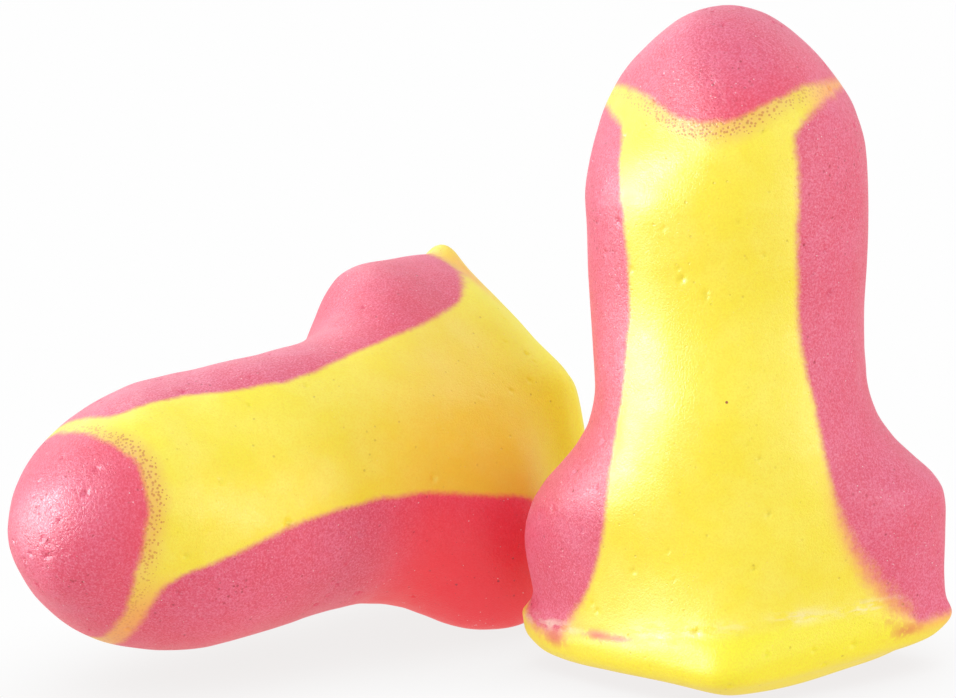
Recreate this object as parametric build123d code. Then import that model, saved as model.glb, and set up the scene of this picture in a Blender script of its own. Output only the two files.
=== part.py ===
"""A pair of foam ear plugs, each moulded from two colours of foam: a core that
carries the flared base, a rounded nose cap and two side panels.  One plug
stands on its base, the other lies beside it.

Frame, millimetres: origin at the centre of the standing plug's base face,
+Z up along its axis towards the nose, +X and -X through its side panels, -Y
through its wider core panel and +Y through the narrower one.
"""

from build123d import *
import math
import os

# Outer skin
LENGTH = 25.1  # base face to nose tip

# Each section is a rounded diamond at the base that fades into a circle on the
# stem.  Columns: height, then the half width through the side panels, the wide
# core panel and the narrow core panel, and the fullness of the sides between
# the corners (1 straight, 2 an ellipse).
SECTIONS = [
    (0.00, 5.20, 4.45, 3.30, 1.08),
    (0.28, 6.95, 5.95, 4.25, 1.02),
    (0.67, 8.38, 7.15, 4.92, 1.00),
    (1.10, 8.74, 7.46, 5.12, 1.02),
    (1.60, 8.63, 7.08, 5.08, 1.10),
    (2.30, 8.38, 6.22, 5.00, 1.23),
    (3.20, 8.22, 5.66, 4.95, 1.39),
    (4.40, 8.22, 5.47, 4.95, 1.56),
    (5.50, 8.16, 5.42, 4.99, 1.71),
    (6.40, 7.99, 5.42, 5.05, 1.80),
    (7.10, 7.58, 5.44, 5.11, 1.86),
    (7.80, 6.89, 5.46, 5.17, 1.91),
    (8.60, 6.12, 5.46, 5.23, 1.95),
    (9.60, 5.52, 5.43, 5.26, 1.99),
    (11.0, 5.18, 5.35, 5.25, 2.00),
    (13.0, 5.14, 5.20, 5.18, 2.00),
    (15.5, 5.20, 5.09, 5.11, 2.00),
    (18.0, 5.20, 5.15, 5.15, 2.00),
    (19.6, 5.11, 5.11, 5.11, 2.00),
    (20.9, 4.81, 4.81, 4.81, 2.00),
    (22.0, 4.29, 4.29, 4.29, 2.00),
    (23.0, 3.63, 3.63, 3.63, 2.00),
    (23.8, 2.90, 2.90, 2.90, 2.00),
    (24.4, 2.15, 2.15, 2.15, 2.00),
    (24.8, 1.46, 1.46, 1.46, 2.00),
]
SECTION_POINTS = 32  # points in each closed section curve
CORNER_ROUNDING = 0.10  # how softly the diamond's corners turn
LOBE_BLEND = 0.25  # sine of the angle either side of X where wide meets narrow

# Seam between the core and a side panel: distance from the axis, height.
SIDE_SEAM = [
    (6.73, 1.69), (6.34, 2.30), (5.74, 3.21), (5.24, 4.23), (4.81, 5.25), (4.44, 6.27),
    (4.17, 7.28), (3.90, 8.30), (3.50, 9.83), (3.18, 11.86), (3.00, 13.90), (2.96, 15.93),
    (3.06, 17.97), (3.12, 19.49), (3.04, 20.60), (3.12, 21.20), (3.60, 21.50), (4.40, 21.68),
]

# Seam below the nose cap
NOSE_SEAM = 21.18  # height above the core panels
NOSE_SEAM_RISE = 0.98  # how much higher it runs over the side panels
NOSE_SEAM_SPREAD = 2.35  # distance from the axis over which it climbs
NOSE_SEAM_STEEPNESS = 2.6  # exponent of the climb
NOSE_SEAM_STEPS = 20  # spline steps on each side of the axis

# Cutting prisms, all reaching beyond the skin
NOSE_CUTTER_REACH = 9.0  # from the axis along X
NOSE_CUTTER_TOP = LENGTH + 4
SIDE_CUTTER_REACH = 12.0  # from the axis along X
CUTTER_HALF_DEPTH = 12.0  # along Y

# Where the loose plug lies: its base centre, heading, tilt and roll.
LOOSE_X, LOOSE_Y = -9.40, 10.92
LOOSE_HEADING = 48.11  # degrees the nose turns from -X towards -Y
LOOSE_TILT = 2.79  # degrees the base end is raised
LOOSE_ROLL = 212.39  # degrees about its own axis


def skin_radius(angle, side, wide, narrow, fullness):
    """Distance from the axis to the skin at a polar angle."""
    sine, cosine = math.sin(angle), math.cos(angle)

    # Smooth step from the narrow half width (+Y) to the wide one (-Y).
    wide_share = 0.5 - 0.5 * max(-1.0, min(1.0, sine / LOBE_BLEND))
    wide_share = wide_share**2 * (3 - 2 * wide_share)
    core = wide * wide_share + narrow * (1 - wide_share)

    # Keeping both terms above zero rounds the corners; an ellipse needs none.
    softening = CORNER_ROUNDING**2 * (2 - fullness)
    scale = math.sqrt(1 + softening)
    along_x = math.sqrt(cosine**2 + softening) / scale
    along_y = math.sqrt(sine**2 + softening) / scale
    return ((along_x / side) ** fullness + (along_y / core) ** fullness) ** (-1 / fullness)


def section(z, *shape):
    """Closed section curve of the skin at height z."""
    points = []
    for k in range(SECTION_POINTS):
        angle = 2 * math.pi * k / SECTION_POINTS
        radius = skin_radius(angle, *shape)
        points.append((radius * math.cos(angle), radius * math.sin(angle), z))
    return Wire([Spline(*points, periodic=True)])


def plug_body():
    """The whole plug as one solid, before it is divided into its foams."""
    curves = [section(*row) for row in SECTIONS]
    return Solid.make_loft([*curves, Vertex(0, 0, LENGTH)])


def seam_prism(seam, corners):
    """Prism along Y, bounded in XZ by a seam spline and lines through corners."""
    outline = [(x, 0, z) for x, z in [seam[-1], *corners, seam[0]]]
    edges = [Spline(*[(x, 0, z) for x, z in seam])]
    edges += [Line(start, end) for start, end in zip(outline, outline[1:])]
    return extrude(Face(Wire(edges)), amount=CUTTER_HALF_DEPTH, dir=(0, 1, 0), both=True)


def nose_cutter():
    """Prism that holds everything above the nose cap's seam."""
    reach, top = NOSE_CUTTER_REACH, NOSE_CUTTER_TOP
    seam = []
    for k in range(-NOSE_SEAM_STEPS, NOSE_SEAM_STEPS + 1):
        x = reach * k / NOSE_SEAM_STEPS
        climb = 1 - math.exp(-((abs(x) / NOSE_SEAM_SPREAD) ** NOSE_SEAM_STEEPNESS))
        seam.append((x, NOSE_SEAM + NOSE_SEAM_RISE * climb))
    return seam_prism(seam, [(reach, top), (-reach, top)])


def side_cutter(side):
    """Prism that holds everything outside the seam on the +X (1) or -X (-1) side."""
    reach = SIDE_CUTTER_REACH * side
    seam = [(x * side, z) for x, z in SIDE_SEAM]
    return seam_prism(seam, [(reach, seam[-1][1]), (reach, seam[0][1])])


def largest_solid(shape):
    """The largest solid of a boolean result."""
    return max(shape.solids(), key=lambda solid: solid.volume)


def plug_pieces():
    """The four foam pieces of an upright plug, by name."""
    body = plug_body()
    upper = nose_cutter()
    right = side_cutter(1)
    left = side_cutter(-1)
    panel = largest_solid(body & right)
    return {
        "core": largest_solid(body - upper - right - left),
        "nose_cap": largest_solid(body & upper),
        "side_panel_right": panel,
        "side_panel_left": panel.mirror(Plane.YZ),
    }


def loose_placement(pieces):
    """Roll, lay the nose towards -X, turn to the heading, rest on the ground."""
    laid = Rot(0, 0, LOOSE_HEADING) * Rot(0, -90 - LOOSE_TILT, 0) * Rot(0, 0, LOOSE_ROLL)
    lowest = min((laid * piece).bounding_box().min.Z for piece in pieces)
    return Pos(LOOSE_X, LOOSE_Y, -lowest) * laid


plug = plug_pieces()
loose = loose_placement(plug.values())

os.makedirs("parts", exist_ok=True)
for name, piece in plug.items():
    export_step(piece, f"parts/standing_{name}.step")
    export_step(loose * piece, f"parts/loose_{name}.step")
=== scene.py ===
"""Two soft foam plugs, each with a yellow core, a pink nose cap and two pink side panels.

The standing plug rests on its flared base at the origin with its axis along +Z. Its side
panels face +X (right) and -X (left), its wide core panel faces -Y and the narrow one +Y.
The loose plug lies on its side beyond it in +Y, with its nose towards -X and -Y.
Plugs are shaped in millimetres in their own upright frame, then placed and scaled to metres.
"""
import math
from functools import partial, reduce
from types import SimpleNamespace

import bmesh
import bpy
import numpy as np
from mathutils import Matrix, Vector, kdtree


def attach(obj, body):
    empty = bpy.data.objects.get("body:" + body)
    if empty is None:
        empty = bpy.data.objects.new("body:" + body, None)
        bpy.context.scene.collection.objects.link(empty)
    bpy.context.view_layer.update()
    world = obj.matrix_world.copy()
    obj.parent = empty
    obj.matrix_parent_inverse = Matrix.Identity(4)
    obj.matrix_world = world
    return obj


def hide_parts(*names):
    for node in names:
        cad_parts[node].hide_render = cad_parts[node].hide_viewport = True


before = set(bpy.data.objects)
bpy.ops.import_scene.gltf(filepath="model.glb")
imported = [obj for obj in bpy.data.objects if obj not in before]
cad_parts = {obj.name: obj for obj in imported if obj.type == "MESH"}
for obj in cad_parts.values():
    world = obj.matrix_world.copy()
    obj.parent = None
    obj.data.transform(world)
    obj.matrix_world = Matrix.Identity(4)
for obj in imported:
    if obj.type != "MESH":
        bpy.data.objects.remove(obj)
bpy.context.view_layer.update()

MM = 0.001

# ------------------------------------------------------------------ plug shape, mm
# height, half width through the side panels, through the wide core panel and through
# the narrow core panel, and the fullness of the sides (2 is an ellipse)
SECTIONS = np.array([
    (0.00, 5.20, 4.45, 3.30, 1.08),
    (0.28, 6.95, 5.95, 4.25, 1.02),
    (0.67, 8.38, 7.15, 4.92, 1.00),
    (1.10, 8.74, 7.46, 5.12, 1.02),
    (1.60, 8.63, 7.08, 5.08, 1.10),
    (2.30, 8.38, 6.22, 5.00, 1.23),
    (3.20, 8.22, 5.66, 4.95, 1.39),
    (4.40, 8.22, 5.47, 4.95, 1.56),
    (5.50, 8.16, 5.42, 4.99, 1.71),
    (6.40, 7.99, 5.42, 5.05, 1.80),
    (7.10, 7.58, 5.44, 5.11, 1.86),
    (7.80, 6.89, 5.46, 5.17, 1.91),
    (8.60, 6.12, 5.46, 5.23, 1.95),
    (9.60, 5.52, 5.43, 5.26, 1.99),
    (11.0, 5.18, 5.35, 5.25, 2.00),
    (13.0, 5.14, 5.20, 5.18, 2.00),
    (15.5, 5.20, 5.09, 5.11, 2.00),
    (18.0, 5.20, 5.15, 5.15, 2.00),
    (19.6, 5.11, 5.11, 5.11, 2.00),
    (20.9, 4.81, 4.81, 4.81, 2.00),
    (22.0, 4.29, 4.29, 4.29, 2.00),
    (23.0, 3.63, 3.63, 3.63, 2.00),
    (23.8, 2.90, 2.90, 2.90, 2.00),
    (24.4, 2.15, 2.15, 2.15, 2.00),
    (24.8, 1.46, 1.46, 1.46, 2.00),
    (25.10, 0.0, 0.0, 0.0, 2.00),
])
LENGTH = SECTIONS[-1, 0]
NOSE_SECTIONS = SECTIONS[-8:]
NOSE_START = NOSE_SECTIONS[1, 0]  # round from here to the tip
CORNER = 0.10  # rounding of the outline where it crosses the X and Y axes

# seam between core and side panel: distance from the YZ plane, height
SEAM = np.array([
    (6.73, 1.69), (6.34, 2.30), (5.74, 3.21), (5.24, 4.23), (4.81, 5.25),
    (4.44, 6.27), (4.17, 7.28), (3.90, 8.30), (3.50, 9.83), (3.18, 11.86),
    (3.00, 13.90), (2.96, 15.93), (3.06, 17.97), (3.12, 19.49), (3.04, 20.60),
    (3.12, 21.20), (3.60, 21.50), (4.40, 21.68),
])
# seam of the nose cap: height at x = 0, climb towards the sides, reach of the low middle
NOSE_SEAM, NOSE_RISE, NOSE_SPREAD = 21.18, 0.98, 2.35
NOSE_GAP = 0.22  # least distance from a side panel's top edge down from the nose seam

# the moulded crease above the rim: degrees around from +X, height
CREASE = np.array([
    (0, 1.75), (20, 1.7), (160, 1.7), (180, 1.85), (200, 2.0), (234, 2.27), (258, 2.47),
    (293, 2.62), (310, 2.88), (320, 2.80), (333, 2.50), (350, 1.90), (360, 1.75),
])

# ------------------------------------------------------------------ grid
COLUMNS = 400
LAND_STEPS = 46  # steps from the base's centre to the edge of its flat land
ROW_STEP = 0.098
RIM_HEIGHT = 1.6  # rows are denser about here

# ------------------------------------------------------------------ the two plugs
WAVE_Z = np.array([0.0, 1.1, 2.6, 4.8, 7.2, 10.0, 14.0, 18.0, 21.5, 24.6])
SEAM_Z = np.array([1.7, 4.0, 7.0, 10.0, 14.0, 18.0, 20.8])
RIGHT, LEFT = 1, -1

# seed, pits: random seed and number of pits scattered over the skin
# clusters: pits close together, as x, y, z, spread, count
# relax: smoothing passes over the rim; crease: strength of the moulded crease
# waves: radial offsets at WAVE_Z times cos, sin, cos 2, sin 2, cos 3, sin 3 of the angle
# slant, lift: tilt of the base in x and y, and its rise; lean: shift of the tip in x and y
# top: change of length, spread over the upper part
# nose_shift, nose_rise, nose_slope: change of the nose seam's height, climb and tilt in x
# seam_shift: side panel seams moved outwards, at SEAM_Z
# roof: top edges of the side panels, as distance from the YZ plane, height
# foot, arch: rise of the side panels' lower edges, and more in the left one's middle
# lips: proud rim ends, as amount, degrees around, height, half angle (radians), half height
# gloss, blush, web: skin marks, as strength, x, y, z, reach around, reach up; the gloss marks are
# smoother skin with painted highlight streaks along the crease
PLUGS = {
    "standing": SimpleNamespace(
        seed=5, pits=170, relax=70, crease=1.0,
        clusters=[
            (0.72, -3.45, 23.13, 0.45, 6), (-0.1, -3.8, 22.8, 0.4, 4),
            (0.3, -4.2, 22.1, 0.5, 4), (1.1, -3.7, 22.6, 0.5, 4),
            (4.3, -3.0, 19.3, 0.9, 6), (-4.6, -2.4, 17.5, 1.1, 6),
        ],
        waves=np.array([
            (-0.12, -0.18, -0.17, -0.16, -0.11, 0.01),
            (-0.11, -0.08, 0.29, 0.01, -0.01, -0.05),
            (-0.05, -0.12, 0.10, -0.07, 0.01, 0.02),
            (-0.05, -0.04, -0.02, -0.05, -0.09, 0.04),
            (0.10, -0.07, -0.17, 0.11, 0.03, -0.04),
            (0.07, -0.19, -0.10, 0.12, -0.03, -0.02),
            (-0.05, 0.18, 0.03, -0.02, -0.02, -0.00),
            (-0.05, -0.16, 0.04, 0.01, 0.01, -0.00),
            (0.14, 0.23, -0.03, -0.24, -0.10, 0.11),
            (0.01, 0.01, -0.04, -0.02, -0.01, 0.00),
        ]),
        slant=(0.041, -0.005), lift=0.11, lean=(0.225, 0.167), top=-0.138,
        nose_shift=-0.15, nose_rise=0.28, nose_slope=-0.015,
        seam_shift={
            RIGHT: (0.07, -0.10, -0.06, 0.07, -0.14, -0.11, -0.25),
            LEFT: (-0.00, -0.24, 0.07, 0.41, 0.25, 0.34, 0.51),
        },
        roof={
            RIGHT: [(2.9, 20.55), (3.1, 20.85), (3.6, 21.40), (4.2, 21.85), (4.8, 22.05)],
            LEFT: [(3.1, 20.35), (3.4, 20.75), (3.9, 21.15), (4.4, 21.60), (4.9, 21.85)],
        },
        foot=0.0, arch=0.80,
        lips=[
            (0.22, 0.0, 1.60, 0.16, 0.42), (0.14, 180.0, 1.45, 0.17, 0.40),
            (0.42, 180.0, 2.08, 0.17, 0.50),
        ],
        gloss_and_painted_highlight=[
            (1.00, -6.9, -1.7, 2.05, 1.5, 0.22), (0.80, 2.6, -4.9, 2.85, 0.95, 0.26),
            (0.55, 0.2, -5.4, 2.75, 0.7, 0.24), (0.90, 5.0, -3.3, 2.80, 1.3, 0.24),
            (0.45, -2.6, -4.9, 2.45, 1.3, 0.35), (0.50, -1.2, -5.5, 2.6, 0.6, 0.3),
        ],
        blush=[
            (1.10, -6.65, -1.95, 1.60, 0.70, 0.30), (1.10, -4.9, -3.45, 2.02, 0.75, 0.19),
            (0.95, -3.9, -4.15, 2.02, 0.65, 0.15), (0.85, 6.30, -2.15, 1.50, 0.70, 0.30),
            (0.50, 5.9, -2.6, 2.1, 0.6, 0.3),
        ],
        web=[(0.70, -6.7, -1.7, 2.25, 1.4, 0.50)],
    ),
    "loose": SimpleNamespace(
        seed=9, pits=150, relax=150, crease=0.12,
        clusters=[
            (-0.75, 1.9, 24.5, 0.45, 6), (0.4, 1.5, 24.75, 0.5, 6), (1.4, 1.4, 24.5, 0.5, 5),
            (-1.2, 3.0, 23.45, 0.4, 3), (2.5, 1.3, 23.9, 0.5, 4), (4.5, 2.5, 18.6, 0.9, 4),
        ],
        waves=np.array([
            (0.10, -0.16, 0.03, 0.09, -0.02, 0.01),
            (-0.31, -0.13, 0.21, 0.18, -0.06, -0.11),
            (-0.53, -0.08, 0.18, -0.06, 0.03, 0.01),
            (-0.04, 0.22, 0.34, 0.25, 0.05, 0.05),
            (0.02, -0.09, 0.19, -0.01, -0.04, -0.04),
            (0.14, -0.07, 0.12, -0.21, -0.04, -0.08),
            (0.17, -0.17, 0.09, -0.19, -0.01, 0.02),
            (0.05, -0.30, 0.08, -0.03, -0.04, -0.05),
            (-0.22, -0.41, -0.35, -0.01, 0.03, -0.11),
            (0.03, 0.15, 0.02, 0.05, 0.04, 0.01),
        ]),
        slant=(-0.003, 0.056), lift=0.0, lean=(0.055, -0.050), top=-0.191,
        nose_shift=0.366, nose_rise=-0.291, nose_slope=0.002,
        seam_shift={
            RIGHT: (0.00, -0.36, -0.22, -0.38, -0.11, 0.20, 0.35),
            LEFT: (0.12, -0.81, -0.63, -0.31, -0.44, 0.10, 0.03),
        },
        roof={
            RIGHT: [(2.9, 20.9), (3.2, 21.2), (3.7, 21.5), (4.4, 21.68), (4.9, 21.72)],
            LEFT: [(2.9, 21.0), (3.2, 21.3), (3.7, 21.6), (4.4, 21.78), (4.9, 21.82)],
        },
        foot=0.40, arch=0.0,
        lips=[(0.08, 0.0, 1.50, 0.16, 0.38), (0.60, 180.0, 1.30, 0.14, 0.42)],
        gloss_and_painted_highlight=[(0.50, -6.4, 1.3, 1.2, 0.6, 0.3)],
        blush=[],
        web=[(0.80, -6.6, 1.7, 1.50, 1.9, 0.75)],
    ),
}
# where the loose plug lies: its base centre in mm, its turns in degrees
LOOSE = SimpleNamespace(x=-9.40, y=10.92, heading=48.11, tilt=2.79, roll=212.39)


# ------------------------------------------------------------------ curves
def end_slope(step, next_step, rise, next_rise):
    """Slope at an end of a monotone cubic, kept from overshooting."""
    slope = ((2 * step + next_step) * rise - step * next_rise) / (step + next_step)
    if slope * rise <= 0:
        return 0
    return 3 * rise if abs(slope) > 3 * abs(rise) else slope


def monotone(xs, ys, x):
    """Monotone cubic through (xs, ys), held level beyond the ends."""
    step = np.diff(xs)
    rise = np.diff(ys) / step
    slope = np.zeros_like(ys)
    for i in range(1, len(xs) - 1):
        if rise[i - 1] * rise[i] > 0:
            before = 2 * step[i] + step[i - 1]
            after = step[i] + 2 * step[i - 1]
            slope[i] = (before + after) / (before / rise[i - 1] + after / rise[i])
    slope[0] = end_slope(step[0], step[1], rise[0], rise[1])
    slope[-1] = end_slope(step[-1], step[-2], rise[-1], rise[-2])
    x = np.clip(x, xs[0], xs[-1])
    i = np.clip(np.searchsorted(xs, x) - 1, 0, len(step) - 1)
    t = (x - xs[i]) / step[i]
    t2, t3 = t * t, t * t * t
    return (
        (2 * t3 - 3 * t2 + 1) * ys[i] + (t3 - 2 * t2 + t) * step[i] * slope[i]
        + (-2 * t3 + 3 * t2) * ys[i + 1] + (t3 - t2) * step[i] * slope[i + 1]
    )


def smooth(low, high, value):
    """Eases from 0 at low to 1 at high."""
    t = np.clip((value - low) / (high - low), 0, 1)
    return t * t * (3 - 2 * t)


def bell(value, at, width):
    return np.exp(-(((value - at) / width) ** 2))


# ------------------------------------------------------------------ value noise
LATTICE_SIZE = 32
LATTICES = [
    np.random.default_rng(seed).uniform(-1, 1, (LATTICE_SIZE,) * 3) for seed in range(101, 109)
]


def noise(points, size, lattice):
    """Smooth value noise, about -1 to 1, with features of the given size in mm."""
    grid = LATTICES[lattice]
    cell = points / size + 17.3 * (lattice + 1)
    low = np.floor(cell).astype(int)
    part = cell - low
    part = part * part * part * (part * (part * 6 - 15) + 10)
    sides = ((low % LATTICE_SIZE, 1 - part), ((low + 1) % LATTICE_SIZE, part))
    total = 0
    for ix, wx in sides:
        for iy, wy in sides:
            for iz, wz in sides:
                corner = grid[ix[..., 0], iy[..., 1], iz[..., 2]]
                total = total + corner * wx[..., 0] * wy[..., 1] * wz[..., 2]
    return total * 1.6


# ------------------------------------------------------------------ outline
def radius(z, angle):
    """Distance of the even skin from the plug's axis."""
    side, wide, narrow, fullness = [
        monotone(SECTIONS[:, 0], SECTIONS[:, column], z) for column in range(1, 5)
    ]
    # the nose is round, so its radius is smoothed as a square
    square = monotone(NOSE_SECTIONS[:, 0], NOSE_SECTIONS[:, 1] ** 2, z)
    nose = np.sqrt(np.maximum(square, 1e-6))
    side, wide, narrow = [np.where(z > NOSE_START, nose, r) for r in (side, wide, narrow)]
    sine = np.sin(angle)
    toward_wide = 1 - smooth(-0.25, 0.25, sine)
    core = np.maximum(wide * toward_wide + narrow * (1 - toward_wide), 1e-4)
    side = np.maximum(side, 1e-4)
    rounding = CORNER**2 * (2 - fullness)
    cosine = np.sqrt(np.cos(angle) ** 2 + rounding) / np.sqrt(1 + rounding)
    sine = np.sqrt(sine * sine + rounding) / np.sqrt(1 + rounding)
    return ((cosine / side) ** fullness + (sine / core) ** fullness) ** (-1 / fullness)


def offset(z, angle, plug):
    """Small differences in radius between one soft plug and the next."""
    total = 0
    waves = [wave(turns * angle) for turns in (1, 2, 3) for wave in (np.cos, np.sin)]
    for k, wave in enumerate(waves):
        total = total + monotone(WAVE_Z, plug.waves[:, k], z) * wave
    return total * np.sqrt(np.clip((LENGTH - z) / 1.2, 0, 1))


def lips(z, angle, plug):
    """Proud lips of the rim at the ends of the finger lobes."""
    total = 0
    for amount, around, height, half_angle, half_height in plug.lips:
        turn = np.angle(np.exp(1j * (angle - math.radians(around))))
        total = total + amount * bell(turn, 0, half_angle) * bell(z, height, half_height)
    return total


def bend(points, plug):
    """Slants the base and bends the stem a little."""
    bent = points.copy()
    x, y, z = np.moveaxis(points, -1, 0)
    slant_x, slant_y = plug.slant
    fall = np.clip(1 - z / 8, 0, 1)
    rise = (slant_x * x + slant_y * y) * fall + plug.lift
    share = z / LENGTH
    bent[..., 0] = x + plug.lean[0] * share * share
    bent[..., 1] = y + plug.lean[1] * share * share
    bent[..., 2] = z + rise * smooth(0.0, 0.45, z) + plug.top * smooth(16.0, LENGTH, z)
    return bent


# ------------------------------------------------------------------ zone fields
def nose_seam_height(x, plug):
    climb = 1 - np.exp(-((np.abs(x) / NOSE_SPREAD) ** 2.6))
    middle = NOSE_SEAM + plug.nose_shift + plug.nose_slope * x
    return middle + (NOSE_RISE + plug.nose_rise) * climb


def nose_field(points, plug):
    """Height above the nose cap's seam; positive inside the cap."""
    wobble = 0.05 * noise(points, size=1.3, lattice=4)
    wobble = wobble + 0.02 * noise(points, size=0.5, lattice=5)
    return points[..., 2] - nose_seam_height(points[..., 0], plug) - wobble


def side_field(points, side, plug):
    """Positive inside the side panel on that side."""
    x = points[..., 0] * side
    y, z = points[..., 1], points[..., 2]
    wobble = 0.035 * noise(points, size=2.2, lattice=6)
    wobble = wobble + 0.012 * noise(points, size=0.6, lattice=7)
    shift = np.interp(z, SEAM_Z, plug.seam_shift[side])
    wide = x - np.interp(z, SEAM[:, 1], SEAM[:, 0]) - shift + wobble
    # the panel's top edge climbs outwards, short of the nose cap's seam
    roof = np.interp(x, *np.transpose(plug.roof[side]))
    roof = np.minimum(roof, nose_seam_height(points[..., 0], plug) - NOSE_GAP)
    roof = roof - z + 0.6 * wobble
    floor = z - SEAM[0, 1] - plug.foot - 0.8 * wobble
    if side == LEFT:
        floor = floor - plug.arch * bell(y, at=-0.1, width=0.75)
    return np.minimum(np.minimum(wide, roof * 0.9), floor)


# ------------------------------------------------------------------ the grid
BASE = np.array([0.0, 0.0, 0.0])
TIP = np.array([0.0, 0.0, LENGTH])


def row_heights():
    """Heights of the rows from the edge of the land, even along the side profile."""
    z = np.concatenate([
        np.linspace(0, RIM_HEIGHT, 400), np.linspace(RIM_HEIGHT, 8, 300)[1:],
        np.linspace(8, 20, 300)[1:],
        LENGTH - (LENGTH - 20) * (1 - np.linspace(0, 1, 500)[1:]) ** 2,
    ])
    profile = radius(z, np.full_like(z, 0.35))
    arc = np.concatenate([[0], np.cumsum(np.hypot(np.diff(z), np.diff(profile)))])
    density = 1 + 0.5 * bell(z, at=RIM_HEIGHT, width=1.1)
    weighted = np.diff(arc) * 0.5 * (density[1:] + density[:-1])
    arc = np.concatenate([[0], np.cumsum(weighted)])
    count = int(arc[-1] / ROW_STEP)
    return np.interp(np.linspace(0, arc[-1], count + 1)[:-1], arc, z)


def column_angles():
    """Column angles, spaced more evenly along the diamond's outline than by angle."""
    angle = np.linspace(0, 2 * np.pi, COLUMNS, endpoint=False)
    middle = radius(np.full_like(angle, 5.0), angle)
    outline = np.stack([middle * np.cos(angle), middle * np.sin(angle)], -1)
    chord = np.linalg.norm(np.roll(outline, -1, 0) - outline, axis=1)
    chord = 0.6 * chord / chord.mean() + 0.4
    along = np.concatenate([[0], np.cumsum(chord)])
    even = np.linspace(0, along[-1], COLUMNS, endpoint=False)
    return np.interp(even, along, np.append(angle, 2 * np.pi))


def build_skin(plug):
    """Even outer skin, rows x columns x 3, from near the base's centre to near the tip."""
    angle = column_angles()

    def ring(z, scale=1.0):
        level = np.full_like(angle, z)
        r = scale * (radius(level, angle) + offset(level, angle, plug))
        return np.stack([r * np.cos(angle), r * np.sin(angle), level], -1)

    land = [ring(0.0, scale) for scale in np.linspace(0, 1, LAND_STEPS + 1)[1:-1]]
    skin = np.array(land + [ring(z) for z in row_heights()])
    # foam never comes out of the mould crisp: relax the rim and its corners
    z = skin[..., 2:3]
    weight = smooth(0.02, 0.5, z) * (1 - smooth(3.0, 6.0, z))
    for _ in range(plug.relax):
        above = np.concatenate([skin[1:], skin[-1:]])
        below = np.concatenate([skin[:1], skin[:-1]])
        around = above + below + np.roll(skin, 1, 1) + np.roll(skin, -1, 1)
        skin = skin + 0.5 * weight * (0.25 * around - skin)
    return skin


def grid_normals(skin, tip):
    """Vertex normals of the grid, closed by the base's centre and the tip."""
    around = np.roll(skin, -1, 1) - np.roll(skin, 1, 1)
    above = np.concatenate([skin[1:], np.broadcast_to(tip, (1,) + skin.shape[1:])])
    below = np.concatenate([np.broadcast_to(BASE, (1,) + skin.shape[1:]), skin[:-1]])
    normals = np.cross(around, above - below)
    return normals / np.maximum(np.linalg.norm(normals, axis=-1, keepdims=True), 1e-12)


def pits(skin, plug):
    """Small round pits where cells of the foam broke open at the skin."""
    rng = np.random.default_rng(plug.seed)
    flat = skin.reshape(-1, 3)
    total = np.zeros(len(flat))
    places = list(rng.integers(0, len(flat), plug.pits))
    radii = list(rng.uniform(0.07, 0.15, plug.pits))
    for x, y, z, spread, count in plug.clusters:
        for _ in range(count):
            centre = np.array([x, y, z]) + rng.normal(0, spread, 3)
            places.append(int(((flat - centre) ** 2).sum(1).argmin()))
            radii.append(rng.uniform(0.06, 0.13))
    radii = np.array(radii)
    depths = radii * rng.uniform(0.5, 0.9, len(radii))
    depths[plug.pits:] *= 0.45  # clustered pits are shallower
    for place, pit_radius, depth in zip(places, radii, depths):
        centre = flat[place]
        if abs(centre[2]) < 0.02:  # none on the flat land
            continue
        near = np.abs(flat - centre).max(1) < 2.2 * pit_radius
        reach = np.sqrt(((flat[near] - centre) ** 2).sum(1)) / pit_radius
        total[near] -= depth * np.exp(-(reach**2) * 1.6)
    return total.reshape(skin.shape[:2])


def crease_height(angle):
    return np.interp(np.degrees(angle) % 360, CREASE[:, 0], CREASE[:, 1])


# slow unevenness of the skin: amount, feature size, lattice
UNEVENNESS = ((0.040, 7.0, 0), (0.036, 3.1, 1), (0.014, 1.2, 2), (0.003, 0.6, 3))


def shape_plug(plug):
    """The even skin, and the finished skin and tip made from it."""
    skin = build_skin(plug)
    x, y, z = np.moveaxis(skin, -1, 0)
    angle = np.arctan2(y, x)
    relief = sum(amount * noise(skin, size, lattice) for amount, size, lattice in UNEVENNESS)
    # the moulded crease above the rim, with its thin proud skin
    height = crease_height(angle) + 0.06 * noise(skin, size=2.6, lattice=4)
    ends = smooth(0.80, 0.97, np.abs(np.cos(angle)))
    crease = 0.050 * bell(z, at=height - 0.42, width=0.30) - 0.055 * bell(z, at=height, width=0.20)
    strength = (0.45 + 0.45 * noise(skin, size=1.9, lattice=5)) * (1 - 0.3 * ends)
    relief = relief + crease * np.clip(strength, 0.0, 1.8) * plug.crease
    # a thin uneven edge of skin on the rim
    relief = relief + 0.035 * bell(z, at=1.05, width=0.30) * noise(skin, size=2.4, lattice=6)
    free = smooth(0.0, 0.9, z)  # nothing moves on the flat land
    relief = (relief + lips(z, angle, plug)) * free + pits(skin, plug) * free
    shaped = skin + grid_normals(skin, TIP) * relief[..., None]
    shaped[..., 2] = np.maximum(shaped[..., 2], 0.0)
    return skin, bend(shaped, plug), bend(TIP, plug)


# ------------------------------------------------------------------ cutting into pieces
class Points:
    """Growing lists of finished position, even (rest) position and normal."""

    def __init__(self, shaped, rest, normals):
        self.shaped, self.rest, self.normals = list(shaped), list(rest), list(normals)

    def add(self, shaped, rest, normal):
        self.shaped.append(shaped)
        self.rest.append(rest)
        self.normals.append(normal)
        return len(self.shaped) - 1

    def between(self, i, j, t):
        shaped, rest, normal = [
            values[i] * (1 - t) + values[j] * t
            for values in (self.shaped, self.rest, self.normals)
        ]
        return self.add(shaped, rest, normal / max(np.linalg.norm(normal), 1e-12))


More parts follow.
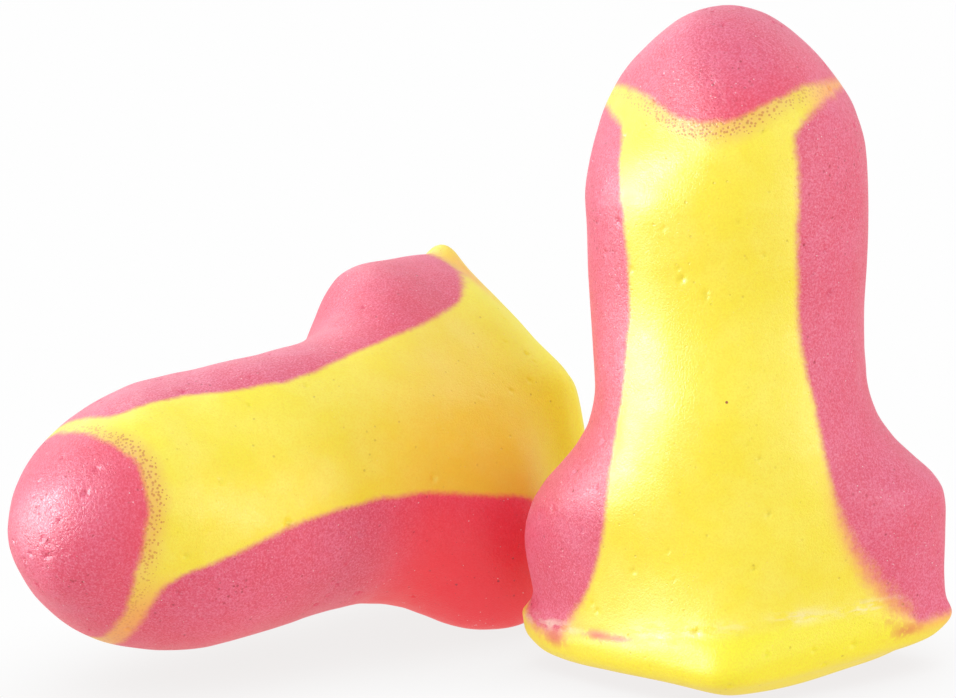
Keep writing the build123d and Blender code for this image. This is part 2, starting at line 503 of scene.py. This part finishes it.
class FieldValues(dict):
    """A zone field by vertex id, worked out on demand for new vertices."""

    def __init__(self, field, points, known):
        super().__init__(enumerate(known))
        self.field, self.points = field, points

    def __missing__(self, vertex):
        self[vertex] = float(self.field(self.points.rest[vertex][None, :])[0])
        return self[vertex]


def clip(polys, values, points):
    """Splits polygons (lists of vertex ids) by the sign of values."""
    inside, outside, cuts = [], [], {}
    for poly in polys:
        signs = [values[i] >= 0 for i in poly]
        if all(signs):
            inside.append(poly)
            continue
        if not any(signs):
            outside.append(poly)
            continue
        kept, rest = [], []
        for k, i in enumerate(poly):
            following = (k + 1) % len(poly)
            (kept if signs[k] else rest).append(i)
            if signs[k] != signs[following]:
                edge = low, high = tuple(sorted((i, poly[following])))
                if edge not in cuts:
                    t = values[low] / (values[low] - values[high])
                    cuts[edge] = points.between(low, high, min(max(t, 0.04), 0.96))
                kept.append(cuts[edge])
                rest.append(cuts[edge])
        if len(kept) >= 3:
            inside.append(kept)
        if len(rest) >= 3:
            outside.append(rest)
    return inside, outside


def split_islands(polys):
    """The largest connected set of polygons, and all the others."""
    parent = {}

    def find(vertex):
        while parent.setdefault(vertex, vertex) != vertex:
            parent[vertex] = parent[parent[vertex]]
            vertex = parent[vertex]
        return vertex

    for poly in polys:
        root = find(poly[0])
        for vertex in poly[1:]:
            parent[find(vertex)] = root
    islands = {}
    for poly in polys:
        islands.setdefault(find(poly[0]), []).append(poly)
    *small, largest = sorted(islands.values(), key=len)
    return largest, [poly for island in small for poly in island]


def boundary_loops(polys):
    """Closed loops of the directed edges that have no twin."""
    following = {}
    edges = set()
    for poly in polys:
        for k in range(len(poly)):
            edges.add((poly[k], poly[(k + 1) % len(poly)]))
    for start, end in edges:
        if (end, start) not in edges:
            following.setdefault(start, []).append(end)
    loops = []
    while following:
        start = next(iter(following))
        loop, current = [start], start
        while True:
            ends = following[current]
            end = ends.pop()
            if not ends:
                del following[current]
            if end == start:
                break
            loop.append(end)
            current = end
        loops.append(loop)
    return loops


# rings of an inner sheet: depth under the skin, then scale about the sheet's centre
SHEET_RINGS = (
    (0.16, 1.0), (0.45, 0.985), (0.80, 0.93), (1.0, 0.80), (1.0, 0.60), (0.9, 0.36), (0.6, 0.15),
)
SHEET_CENTRES = {
    "nose_cap": np.array([0.0, 0, NOSE_START]),
    "side_panel_right": np.array([2.9, 0, 12.0]),
    "side_panel_left": np.array([-2.9, 0, 12.0]),
}


def sheet(points, loop, centre):
    """Inner face that closes a piece along a seam loop.

    It dives straight in under the skin, then runs to a point inside the plug. Its faces
    turn the way that closes the patch whose boundary the loop is.
    """
    rings = [loop]
    for depth, scale in SHEET_RINGS:
        ring = []
        for i in loop:
            normal = points.normals[i]
            shaped, rest = [
                centre + (place - normal * depth - centre) * scale
                for place in (points.shaped[i], points.rest[i])
            ]
            ring.append(points.add(shaped, rest, normal))
        rings.append(ring)
    middle = points.add(centre, centre, np.array([0.0, 0, 1.0]))
    faces = []
    count = len(loop)
    for outer, inner in zip(rings[:-1], rings[1:]):
        for k in range(count):
            after = (k + 1) % count
            faces.append([outer[after], outer[k], inner[k], inner[after]])
    last = rings[-1]
    return faces + [[last[(k + 1) % count], last[k], middle] for k in range(count)]


def seam_distance(rest, seam_points):
    """Distance in mm from every vertex to the nearest seam point."""
    ids = sorted(set(seam_points))
    tree = kdtree.KDTree(len(ids))
    for n, i in enumerate(ids):
        tree.insert(rest[i], n)
    tree.balance()
    return np.array([tree.find(place)[2] for place in rest])


def make_plug(plug):
    """Points of the plug, the faces of each piece, and every point's seam distance."""
    skin, shaped, tip = shape_plug(plug)
    rows, columns = skin.shape[:2]
    rest = np.concatenate([skin.reshape(-1, 3), [BASE, TIP]])
    points = Points(
        np.concatenate([shaped.reshape(-1, 3), [BASE, tip]]),
        rest,
        np.concatenate([grid_normals(shaped, tip).reshape(-1, 3), [[0, 0, -1.0], [0, 0, 1.0]]]),
    )
    base_id, tip_id = rows * columns, rows * columns + 1
    row = np.arange(rows - 1)[:, None] * columns
    here = np.arange(columns)[None, :]
    after = (here + 1) % columns
    corners = [row + here, row + after, row + columns + after, row + columns + here]
    quads = np.stack(corners, -1).reshape(-1, 4)
    top = (rows - 1) * columns
    base_fan = [[base_id, (k + 1) % columns, k] for k in range(columns)]
    tip_fan = [[tip_id, top + k, top + (k + 1) % columns] for k in range(columns)]

    fields = {
        "nose_cap": partial(nose_field, plug=plug),
        "side_panel_right": partial(side_field, side=RIGHT, plug=plug),
        "side_panel_left": partial(side_field, side=LEFT, plug=plug),
    }
    zones = {zone: [] for zone in ("nose_cap", "core", "side_panel_right", "side_panel_left")}
    known = {}
    settled = np.zeros(len(quads), bool)
    free = ~settled
    for zone, field in fields.items():
        known[zone] = field(rest)
        inside = known[zone][quads] >= 0
        whole = free & inside.all(1)
        zones[zone] = quads[whole].tolist()
        settled |= whole
        free &= ~inside.any(1)
    zones["nose_cap"] += tip_fan
    zones["core"] = base_fan + quads[free].tolist()

    # cut the quads that a seam crosses
    mixed = quads[~(settled | free)].tolist()
    for zone, field in fields.items():
        inside, mixed = clip(mixed, FieldValues(field, points, known[zone]), points)
        zones[zone] += inside
    zones["core"] += mixed

    # loose islands go to the core, so no speck of foam is left loose
    for zone in ("side_panel_right", "side_panel_left", "nose_cap"):
        zones[zone], specks = split_islands(zones[zone])
        zones["core"] += specks

    # close the pieces: each seam loop gets one inner sheet, shared by both sides
    seam_points = []
    for zone, centre in SHEET_CENTRES.items():
        for loop in sorted(boundary_loops(zones[zone]), key=len):
            faces = sheet(points, loop, centre)
            zones[zone] += faces
            zones["core"] += [face[::-1] for face in faces]
            seam_points += loop

    rest = np.array(points.rest)
    seam = seam_distance(rest, seam_points)
    return np.array(points.shaped), rest, np.array(points.normals), zones, seam


# ------------------------------------------------------------------ skin masks
def spots(rest, table):
    """Sum of soft marks: strength, x, y, z, reach around, reach up."""
    total = np.zeros(len(rest))
    for strength, x, y, z, around, up in table:
        square = (rest[:, 0] - x) ** 2 + (rest[:, 1] - y) ** 2
        total += strength * np.exp(-square / around**2 - ((rest[:, 2] - z) / up) ** 2)
    return total


def seam_softness(rest, name):
    """Half width in mm of the colour blend near each seam."""
    x, z = rest[:, 0], rest[:, 2]
    width = 0.19 + 0.06 * smooth(20.6, 21.2, z)  # the nose seam is the loosest
    if name == "standing":
        flare = 0.42 * (1 - smooth(3.2, 8.0, z)) * smooth(1.7, 2.6, z)
        width = width + smooth(2.0, 3.0, x) * (0.04 + flare)
        return width + (x < 0) * (1 - smooth(1.8, 4.0, z)) * 0.16
    return width + (1 - smooth(1.5, 4.2, z)) * 0.34


def rim_band(rest, name):
    """The fresher skin of the rim."""
    x, y, z = rest.T
    if name == "loose":
        return 0.9 * (1 - smooth(1.0, 5.5, z))
    angle = np.arctan2(y, x)
    below = 1 - smooth(-0.55, 0.25, z - crease_height(angle))
    return below * (smooth(-0.2, 0.6, -np.sin(angle)) * 0.8 + 0.2)


def deep_tone_and_painted_shade(rest, height, nose, name):
    """Deeper colour in the nose cap by its seam; on the loose plug, painted shade: the standing
    plug's cast shadow over its flared half, and the shade low down by the floor.
    """
    x, z = rest[:, 0], rest[:, 2]
    tone_and_painted_shade = 0.30 * bell(nose, at=0, width=1.3) * (nose > 0)
    tone_and_painted_shade = tone_and_painted_shade * (1 - 0.8 * smooth(1.5, 4.0, np.abs(x)))
    if name == "loose":
        flare = 1 - smooth(9.0, 13.0, z)
        low = np.maximum(1 - smooth(2.0, 5.5, height), smooth(2.0, 6.5, z))
        # painted shadow cast by the standing plug over the flared half, deepest low down
        tone_and_painted_shade += flare * low * (1 - 0.85 * smooth(3.0, 10.5, height))
        # painted shade on the underside of the stem, low by the floor
        tone_and_painted_shade += 0.35 * (1 - smooth(0.5, 4.0, height)) * smooth(9.0, 13.0, z)
    return np.clip(tone_and_painted_shade, 0, 1)


def orange_web(rest, seam, name, plug):
    """The thin orange web beside the nose cap and along parts of the lower seams."""
    x, z = rest[:, 0], rest[:, 2]
    web = smooth(2.9, 4.1, x) * smooth(20.4, 21.3, z)
    if name == "standing":
        right_seam = bell(seam, at=0, width=0.42) * smooth(2.0, 3.0, x)
        web = np.maximum(web, 0.75 * right_seam * (1 - smooth(5.0, 9.5, z)))
    return np.maximum(web, spots(rest, plug.web))


def porosity(rest, plug):
    """The most porous skin, about the clusters of pits."""
    total = np.zeros(len(rest))
    for x, y, z, spread, _ in plug.clusters:
        total += np.exp(-((rest - (x, y, z)) ** 2).sum(1) / (1.3 * spread) ** 2)
    return np.clip(total, 0, 1)


# ------------------------------------------------------------------ shader helpers
def srgb(*channels):
    """Linear colour from sRGB channels of 0 to 255."""
    shares = [c / 255 for c in channels]
    linear = [c / 12.92 if c <= 0.04045 else ((c + 0.055) / 1.055) ** 2.4 for c in shares]
    return (*linear, 1.0)


class ShaderNet:
    """Builds shader nodes as expressions; every method returns an output socket."""

    def __init__(self, tree):
        self.tree = tree

    def new(self, kind, **settings):
        node = self.tree.nodes.new(kind)
        for key, value in settings.items():
            setattr(node, key, value)
        return node

    def put(self, socket, value):
        if isinstance(value, bpy.types.NodeSocket):
            self.tree.links.new(value, socket)
        else:
            socket.default_value = value

    def fill(self, node, inputs):
        for key, value in inputs.items():
            self.put(node.inputs[key], value)
        return node

    def attribute(self, name, output="Fac"):
        return self.new("ShaderNodeAttribute", attribute_name=name).outputs[output]

    def math(self, operation, first, second=0.0):
        node = self.new("ShaderNodeMath", operation=operation)
        return self.fill(node, {0: first, 1: second, 2: 0.0}).outputs[0]

    def plus(self, first, second):
        return self.math("ADD", first, second)

    def minus(self, first, second):
        return self.math("SUBTRACT", first, second)

    def times(self, *factors):
        return reduce(partial(self.math, "MULTIPLY"), factors)

    def invert(self, value):
        return self.minus(1.0, value)

    def noise(self, vector, scale, detail=2.0, rough=0.5, distortion=0.0):
        return self.fill(self.new("ShaderNodeTexNoise"), {
            "Vector": vector, "Scale": scale, "Detail": detail, "Roughness": rough,
            "Distortion": distortion,
        }).outputs["Fac"]

    def voronoi(self, vector, scale, feature="F1", randomness=1.0):
        node = self.new("ShaderNodeTexVoronoi", feature=feature)
        inputs = {"Vector": vector, "Scale": scale, "Randomness": randomness}
        return self.fill(node, inputs).outputs["Distance"]

    def axis(self, vector, index):
        return self.fill(self.new("ShaderNodeSeparateXYZ"), {0: vector}).outputs[index]

    def vector_math(self, operation, vector, by):
        node = self.new("ShaderNodeVectorMath", operation=operation)
        return self.fill(node, {0: vector, 1: by}).outputs[0]

    def shifted(self, vector, by):
        return self.vector_math("ADD", vector, (by, by * 0.7, -by))

    def ramp(self, value, low, high, out=(0.0, 1.0), kind="SMOOTHSTEP"):
        return self.fill(self.new("ShaderNodeMapRange", interpolation_type=kind), {
            "Value": value, "From Min": low, "From Max": high,
            "To Min": out[0], "To Max": out[1],
        }).outputs[0]

    def specks(self, vector, scale, low, high):
        """Round dots about the centres of random cells."""
        return self.invert(self.ramp(self.voronoi(vector, scale), low, high))

    def patches(self, vector, scale, low, high, detail=0.0, rough=0.5, out=(0.0, 1.0)):
        return self.ramp(self.noise(vector, scale, detail, rough), low, high, out)

    def mix(self, share, first, second):
        node = self.new("ShaderNodeMix", data_type="RGBA", blend_type="MIX")
        return self.fill(node, {0: share, 6: first, 7: second}).outputs[2]

    def tint(self, colour, mask, strength, toward):
        return self.mix(self.times(mask, strength), colour, toward)


def new_material(name):
    """An empty material and its shader net."""
    material = bpy.data.materials.new(name)
    material.use_nodes = True
    material.node_tree.nodes.clear()
    return material, ShaderNet(material.node_tree)


# ------------------------------------------------------------------ foam
def foam_colours(net, tilted, fine):
    """The two foams, each with a slow mottle and layers of tint; the last layer is partly painted
    shade.
    """
    mottle = net.noise(tilted, scale=0.50, detail=3.0, rough=0.55)
    cloud = net.noise(tilted, scale=1.6, detail=3.0, rough=0.6)
    grit = net.noise(tilted, scale=13.0, detail=2.0, rough=0.6, distortion=0.4)
    # tone: deeper colour by the nose seam, and painted shade on the loose plug
    tone_and_painted_shade = net.attribute("tone_and_painted_shade")
    yellow = net.mix(net.ramp(mottle, low=0.32, high=0.68), srgb(250, 240, 48), srgb(252, 244, 80))
    pink = net.mix(net.ramp(mottle, low=0.30, high=0.70), srgb(228, 84, 120), srgb(232, 101, 138))
    # mask, strength, colour
    for mask, strength, toward in (
        (net.ramp(cloud, low=0.40, high=0.70), 0.30, srgb(249, 232, 40)),
        (net.attribute("rim_band"), 0.85, srgb(250, 247, 22)),
        (net.ramp(grit, low=0.42, high=0.64), 0.34, srgb(244, 220, 34)),
        (net.attribute("web"), 0.90, srgb(251, 168, 92)),
        # painted shade, orange, on the loose plug's yellow
        (tone_and_painted_shade, 0.70, srgb(241, 190, 46)),
    ):
        yellow = net.tint(yellow, mask, strength, toward)
    for mask, strength, toward in (
        (net.ramp(cloud, low=0.40, high=0.70), 0.35, srgb(230, 70, 102)),
        (net.ramp(fine, low=0.40, high=0.68), 0.46, srgb(224, 62, 98)),
        (net.ramp(grit, low=0.47, high=0.68), 0.55, srgb(243, 140, 168)),
        (net.ramp(net.invert(grit), low=0.49, high=0.66), 0.50, srgb(212, 48, 86)),
        # painted shade, deep red, on the loose plug's pink, and deeper colour by the nose seam
        (tone_and_painted_shade, 0.90, srgb(255, 38, 58)),
    ):
        pink = net.tint(pink, mask, strength, toward)
    return yellow, pink


def seam_blend(net, place):
    """Share of pink, and the stippled cells that fade out below the nose cap."""
    seam, soft, nose = [net.attribute(key) for key in ("seam_mm", "seam_soft", "nose_mm")]
    # a soft step over the local seam width, a little grainy
    jitter = net.minus(net.noise(place, scale=6.0, detail=3.0, rough=0.6), 0.5)
    slow = net.minus(net.noise(place, scale=1.5, detail=2.0, rough=0.5), 0.5)
    wander = net.times(net.plus(net.times(jitter, 0.85), net.times(slow, 0.7)), soft)
    across = net.math("DIVIDE", net.plus(seam, wander), soft)
    step = net.ramp(across, low=-1.25, high=1.15, kind="SMOOTHERSTEP")
    cell = net.voronoi(place, scale=7.6, randomness=0.80)
    reach = net.ramp(net.plus(nose, net.times(slow, 0.35)), low=-1.05, high=0.10)
    sideways = net.math("ABSOLUTE", net.axis(place, 0))
    centre = net.invert(net.ramp(sideways, low=1.2, high=4.4, out=(0.0, 0.75)))
    size = net.math("MINIMUM", net.times(reach, 0.68), 0.42)
    dots = net.ramp(net.minus(size, cell), low=-0.03, high=0.09)
    dots = net.times(dots, net.math("LESS_THAN", nose, 0.25), centre)
    veil = net.ramp(nose, low=-1.1, high=0.0, out=(0.0, 0.40))
    veil = net.times(veil, net.math("LESS_THAN", nose, 0.1), centre)
    return net.math("MAXIMUM", step, veil), dots


def open_pores(net, place):
    """Masks of the large, the tiny and the closely set pores."""
    pore = net.times(
        net.specks(place, scale=1.9, low=0.055, high=0.13),
        net.patches(place, scale=1.1, low=0.44, high=0.52),
        net.patches(place, scale=0.32, detail=1.0, low=0.38, high=0.66, out=(0.45, 1.0)),
    )
    tiny = net.times(
        net.specks(place, scale=5.2, low=0.06, high=0.16),
        net.patches(place, scale=2.3, low=0.47, high=0.60),
    )
    dense = net.times(
        net.specks(net.shifted(place, by=5.3), scale=3.8, low=0.14, high=0.25),
        net.patches(net.shifted(place, by=3.0), scale=1.8, low=0.42, high=0.56),
        net.attribute("porous"),
    )
    return pore, tiny, dense


def core_fleck(net, place, x=0.35, z=11.03):
    """One dark red fleck on the wide core face."""
    across = net.minus(net.axis(place, 0), x)
    up = net.minus(net.axis(place, 2), z)
    away = net.math("SQRT", net.plus(net.times(across, across), net.times(up, up)))
    wide_face = net.math("LESS_THAN", net.axis(place, 1), 0.0)
    return net.times(net.invert(net.ramp(away, low=0.035, high=0.065)), wide_face)


def foam_material(name):
    """Slow-recovery foam: a matte skin with fine grain, open pores, mottling and soft seams."""
    material, net = new_material(name)
    place = net.attribute("plug_mm", "Vector")
    # a tilted copy of the coordinates, so no grain lines up with the plug
    tilted = net.fill(
        net.new("ShaderNodeVectorRotate", rotation_type="EULER_XYZ"),
        {"Vector": place, "Rotation": (0.61, 0.73, 0.47)},
    ).outputs[0]

    fine = net.noise(tilted, scale=5.5, detail=3.0, rough=0.65, distortion=0.4)
    yellow, pink = foam_colours(net, tilted, fine)
    amount, dots = seam_blend(net, place)
    colour = net.mix(amount, yellow, pink)
    on_yellow = net.times(dots, 0.80, net.invert(net.times(amount, 0.9)))
    colour = net.mix(on_yellow, colour, srgb(190, 84, 40))
    # faint traces of pink worked into the rim
    blush = net.attribute("blush")
    smear = net.plus(net.noise(place, scale=2.6, detail=4.0, rough=0.65), net.times(blush, 0.25))
    smear = net.times(blush, net.ramp(smear, low=0.42, high=0.66))
    colour = net.tint(colour, smear, strength=0.85, toward=srgb(224, 96, 78))

    # dark specks of the pores, fainter on the yellow
    pore, tiny, dense = open_pores(net, place)
    specks = net.math("MAXIMUM", net.times(pore, 0.85), net.times(tiny, 0.42))
    specks = net.math("MAXIMUM", specks, net.times(dense, 0.80))
    specks = net.times(specks, net.ramp(amount, low=0.3, high=0.8, out=(0.62, 1.0)))
    dark = net.mix(amount, srgb(206, 182, 24), srgb(178, 34, 62))
    colour = net.mix(specks, colour, dark)
    colour = net.tint(colour, core_fleck(net, place), strength=0.9, toward=srgb(150, 16, 44))
    # painted glints: bright near-white specks that stand in for sparkle off the skin; they also
    # raise the bump
    painted_glint = net.times(
        net.specks(net.shifted(place, by=31.7), scale=3.6, low=0.05, high=0.12),
        net.patches(net.shifted(place, by=11.0), scale=0.9, detail=1.0, low=0.46, high=0.60),
        net.ramp(amount, low=0.5, high=0.9, out=(0.15, 1.0)),
    )
    colour = net.tint(colour, painted_glint, strength=0.75, toward=srgb(255, 234, 240))
    # painted highlight: pale streaks along the crease, on skin that is also made a little smoother
    # there
    stretched = net.vector_math("MULTIPLY", place, (0.8, 0.8, 2.6))
    streaks = net.patches(stretched, scale=1.5, detail=3.0, rough=0.6, low=0.40, high=0.62)
    sheen = net.times(net.attribute("gloss_and_painted_highlight"), streaks)
    colour = net.tint(colour, sheen, strength=0.55, toward=srgb(255, 250, 226))

    # matte skin, rubbed a little smoother in patches; the flared base is duller
    rough = net.patches(
        place, scale=1.3, detail=3.0, rough=0.6, low=0.3, high=0.7, out=(0.38, 0.46))
    rough = net.plus(rough, net.times(amount, 0.04))
    rough = net.plus(rough, net.ramp(net.axis(place, 2), low=2.2, high=5.0, out=(0.08, 0.0)))
    rough = net.minus(rough, net.times(sheen, 0.20))

    # grain: cells of the foam skin, pores, and soft unevenness
    grain = net.noise(tilted, scale=11.0, detail=3.0, rough=0.6, distortion=0.6)
    edges = net.voronoi(place, scale=8.5, feature="DISTANCE_TO_EDGE")
    walls = net.ramp(edges, low=0.0, high=0.16)
    height = net.plus(net.times(grain, 0.60), net.times(walls, 0.30))
    for combine, mask, weight in (
        (net.minus, pore, 1.8), (net.minus, tiny, 0.8), (net.minus, dense, 1.6),
        (net.minus, dots, 0.8), (net.plus, fine, 0.7), (net.plus, painted_glint, 0.8),
    ):
        height = combine(height, net.times(mask, weight))
    height = net.times(height, net.ramp(amount, low=0.2, high=0.8, out=(0.50, 1.0)))
    bump = net.fill(net.new("ShaderNodeBump"), {
        "Strength": 0.40, "Distance": 0.00006, "Height": height,
    })
    skin = net.fill(net.new("ShaderNodeBsdfPrincipled"), {
        "Base Color": colour, "Roughness": rough, "Specular IOR Level": 0.80,
        "Sheen Weight": 0.10, "Sheen Roughness": 0.40, "Sheen Tint": (1.0, 0.97, 0.97, 1.0),
        "Normal": bump.outputs[0],
    })
    net.fill(net.new("ShaderNodeOutputMaterial"), {0: skin.outputs[0]})
    return material


# ------------------------------------------------------------------ build the plugs
def mesh_object(name, places, rest, normals, polys, masks, material):
    """A piece from the points its polygons use, with masks as point attributes."""
    used = sorted({i for poly in polys for i in poly})
    new_id = {vertex: n for n, vertex in enumerate(used)}
    mesh = bpy.data.meshes.new(name)
    mesh.from_pydata(
        [tuple(place * MM) for place in places[used]], [],
        [[new_id[i] for i in poly] for poly in polys],
    )
    layer = mesh.attributes.new("plug_mm", "FLOAT_VECTOR", "POINT")
    layer.data.foreach_set("vector", rest[used].astype(np.float32).ravel())
    for key, values in masks.items():
        layer = mesh.attributes.new(key, "FLOAT", "POINT")
        layer.data.foreach_set("value", values[used].astype(np.float32))
    mesh.polygons.foreach_set("use_smooth", [True] * len(mesh.polygons))
    mesh.validate()
    mesh.update()
    mesh.normals_split_custom_set_from_vertices([tuple(normal) for normal in normals[used]])
    piece = bpy.data.objects.new(name, mesh)
    bpy.context.scene.collection.objects.link(piece)
    mesh.materials.append(material)
    return piece


def lay_down(shaped, normals):
    """Turns the loose plug onto its side and rests it on the floor."""
    turn = np.array(
        Matrix.Rotation(math.radians(LOOSE.heading), 3, "Z")
        @ Matrix.Rotation(math.radians(-90 - LOOSE.tilt), 3, "Y")
        @ Matrix.Rotation(math.radians(LOOSE.roll), 3, "Z")
    )
    places = shaped @ turn.T + np.array([LOOSE.x, LOOSE.y, 0.0])
    places[:, 2] -= places[:, 2].min()
    return places, normals @ turn.T


def build_plug(name, plug, pink, yellow):
    places, rest, normals, zones, seam = make_plug(plug)
    if name == "loose":
        places, normals = lay_down(places, normals)
    nose = nose_field(rest, plug)
    masks = dict(
        seam_soft=seam_softness(rest, name),
        nose_mm=nose,
        # gloss: smoother skin with painted highlight streaks along the crease
        gloss_and_painted_highlight=np.clip(spots(rest, plug.gloss_and_painted_highlight), 0, 1),
        blush=np.clip(spots(rest, plug.blush), 0, 1.1),
        rim_band=np.clip(rim_band(rest, name), 0, 1),
        # tone: deeper colour by the nose seam, and painted shade on the loose plug
        tone_and_painted_shade=deep_tone_and_painted_shade(rest, places[:, 2], nose, name),
        web=orange_web(rest, seam, name, plug),
        porous=porosity(rest, plug),
    )
    for zone, polys in zones.items():
        # seam distance counts as positive in the pink pieces and negative in the core
        sign, material = (-1.0, yellow) if zone == "core" else (1.0, pink)
        piece = mesh_object(
            f"{name}_{zone}_foam", places, rest, normals, polys,
            dict(masks, seam_mm=seam * sign), material,
        )
        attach(piece, f"{name}_plug")
        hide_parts(f"{name}_{zone}")
        "foam_yellow" if zone == "core" else "foam_pink"


foam_pink = foam_material("foam_pink")
foam_yellow = foam_material("foam_yellow")
for plug_name, plug_spec in PLUGS.items():
    build_plug(plug_name, plug_spec, foam_pink, foam_yellow)


# ------------------------------------------------------------------ stage, metres
def floor_material():
    """A glowing white floor with a painted contact shadow, greyer near the plugs as the camera
    sees it, that casts a warm light on them.
    """
    material, net = new_material("floor_white")
    occlusion = net.new("ShaderNodeAmbientOcclusion", samples=12, only_local=False)
    occlusion.inputs["Distance"].default_value = 0.009
    # painted contact shadow: occlusion by the plugs greys the floor the camera sees
    openness = net.ramp(occlusion.outputs["AO"], low=0.15, high=1.0)
    camera_ray = net.new("ShaderNodeLightPath").outputs["Is Camera Ray"]
    seen = net.mix(openness, srgb(239, 236, 235), srgb(254, 254, 254))
    warm = (1.0, 0.80, 0.73, 1.0)
    glow = net.fill(net.new("ShaderNodeEmission"), {
        "Color": net.mix(camera_ray, warm, seen),
        "Strength": net.plus(net.times(camera_ray, 0.12), 0.88),
    })
    net.fill(net.new("ShaderNodeOutputMaterial"), {0: glow.outputs[0]})
    return material


def add_floor():
    disc = bmesh.new()
    bmesh.ops.create_circle(disc, cap_ends=True, segments=96, radius=14.0)
    mesh = bpy.data.meshes.new("floor")
    disc.to_mesh(mesh)
    disc.free()
    floor = bpy.data.objects.new("floor", mesh)
    floor.location = (-0.01, 0.005, -0.00002)
    bpy.context.scene.collection.objects.link(floor)
    mesh.materials.append(floor_material())


def add_world(light_strength=0.68, seen_strength=1.0):
    """White surroundings, brighter to the camera than as a light."""
    world = bpy.data.worlds.new("studio")
    bpy.context.scene.world = world
    world.use_nodes = True
    net = ShaderNet(world.node_tree)
    white = (1, 1, 1, 1)
    light = world.node_tree.nodes["Background"]
    seen = net.new("ShaderNodeBackground")
    net.fill(light, {"Color": white, "Strength": light_strength})
    net.fill(seen, {"Color": white, "Strength": seen_strength})
    camera_ray = net.new("ShaderNodeLightPath").outputs["Is Camera Ray"]
    either = net.fill(net.new("ShaderNodeMixShader"), {
        0: camera_ray, 1: light.outputs[0], 2: seen.outputs[0],
    })
    net.fill(world.node_tree.nodes["World Output"], {0: either.outputs[0]})


LIGHT_AIM = Vector((-0.006, 0.002, 0.012))
# name, location, width and height, power in watts;
# the gleams only show as reflections in the skin
LIGHTS = (
    ("key_spot", (-0.244, -0.130, 0.139), (0.05, 0.05), 0.22),
    ("soft_left", (-0.285, -0.085, 0.075), (0.22, 0.20), 0.25),
    ("gleam_left", (-0.285, -0.082, 0.072), (0.12, 0.14), 1.10),
    ("gleam_key", (-0.256, -0.108, 0.128), (0.04, 0.04), 0.20),
    ("gleam_right", (0.284, -0.064, 0.030), (0.05, 0.06), 0.06),
    ("side_right", (0.287, -0.060, 0.028), (0.05, 0.07), 0.15),
    ("soft_right", (0.22, -0.20, 0.06), (0.20, 0.20), 0.15),
    ("back_left", (-0.17, 0.22, 0.20), (0.20, 0.20), 0.26),
    ("back_right", (0.16, 0.17, 0.22), (0.20, 0.20), 0.13),
    ("top", (-0.04, -0.04, 0.32), (0.20, 0.20), 0.06),
)


def add_light(name, location, size, power):
    data = bpy.data.lights.new(name, "AREA")
    data.shape = "RECTANGLE"
    data.size, data.size_y = size
    data.energy = power
    lamp = bpy.data.objects.new(name, data)
    bpy.context.scene.collection.objects.link(lamp)
    lamp.location = location
    lamp.rotation_mode = "QUATERNION"
    lamp.rotation_quaternion = (LIGHT_AIM - Vector(location)).to_track_quat("-Z", "Y")
    if name.startswith("gleam"):
        lamp.visible_diffuse = False


# azimuth is from -Y towards +X; angles in degrees, lens and sensor in mm
CAMERA = SimpleNamespace(
    azimuth=11.3026, elevation=8.867, roll=-2.9456, distance=0.0999834,
    target_mm=(-9.6851, 0.0, 12.3931), lens=97.5562298, sensor=36.0,
)


def add_camera():
    azimuth, elevation, roll = [
        math.radians(angle) for angle in (CAMERA.azimuth, CAMERA.elevation, CAMERA.roll)
    ]
    back = Vector((
        math.sin(azimuth) * math.cos(elevation),
        -math.cos(azimuth) * math.cos(elevation),
        math.sin(elevation),
    ))
    level = Vector((math.cos(azimuth), math.sin(azimuth), 0.0))
    upright = back.cross(level)
    right = math.cos(roll) * level + math.sin(roll) * upright
    up = -math.sin(roll) * level + math.cos(roll) * upright
    data = bpy.data.cameras.new("camera")
    camera = bpy.data.objects.new("camera", data)
    bpy.context.scene.collection.objects.link(camera)
    data.sensor_fit = "HORIZONTAL"
    data.sensor_width = CAMERA.sensor
    data.lens = CAMERA.lens
    data.clip_start, data.clip_end = 0.005, 40.0
    place = Vector(CAMERA.target_mm) * MM + back * CAMERA.distance
    turn = Matrix((right, up, back)).transposed()
    camera.matrix_world = Matrix.Translation(place) @ turn.to_4x4()
    bpy.context.scene.camera = camera


add_floor()
add_world()
for light_row in LIGHTS:
    add_light(*light_row)
add_camera()
bpy.context.scene.view_settings.view_transform = "Standard"
bpy.context.scene.view_settings.look = "None"
